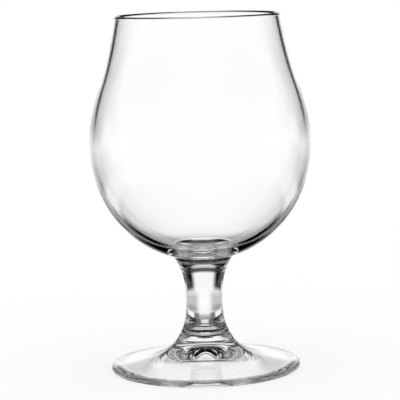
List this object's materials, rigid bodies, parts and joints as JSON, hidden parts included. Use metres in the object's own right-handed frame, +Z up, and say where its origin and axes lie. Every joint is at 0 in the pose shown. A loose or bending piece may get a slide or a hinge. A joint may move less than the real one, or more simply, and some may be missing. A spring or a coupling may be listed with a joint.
{
  "type": "stemmed beer glass",
  "caption": "Clear stemmed tulip beer glass: a full rounded bowl that draws in to a melted rim, on a short waisted stem fused to a flat round foot with a hollow underside.",
  "frame": {"origin": "on the glass's axis, level with the flat ring that the foot stands on", "axes": "+Z up along the axis, from the foot to the rim; +X and +Y are any two square directions, because the glass is round"},
  "size_m": [0.0994, 0.0994, 0.16],
  "materials": {
    "bowl_glass": "clear blown soda-lime glass, fire polished",
    "stem_glass": "clear drawn soda-lime glass, fire polished",
    "foot_glass": "clear pressed soda-lime glass, fire polished"
  },
  "bodies": {
    "root": {"bowl": "bowl_glass", "stem": "stem_glass", "foot": "foot_glass"}
  },
  "joints": []
}
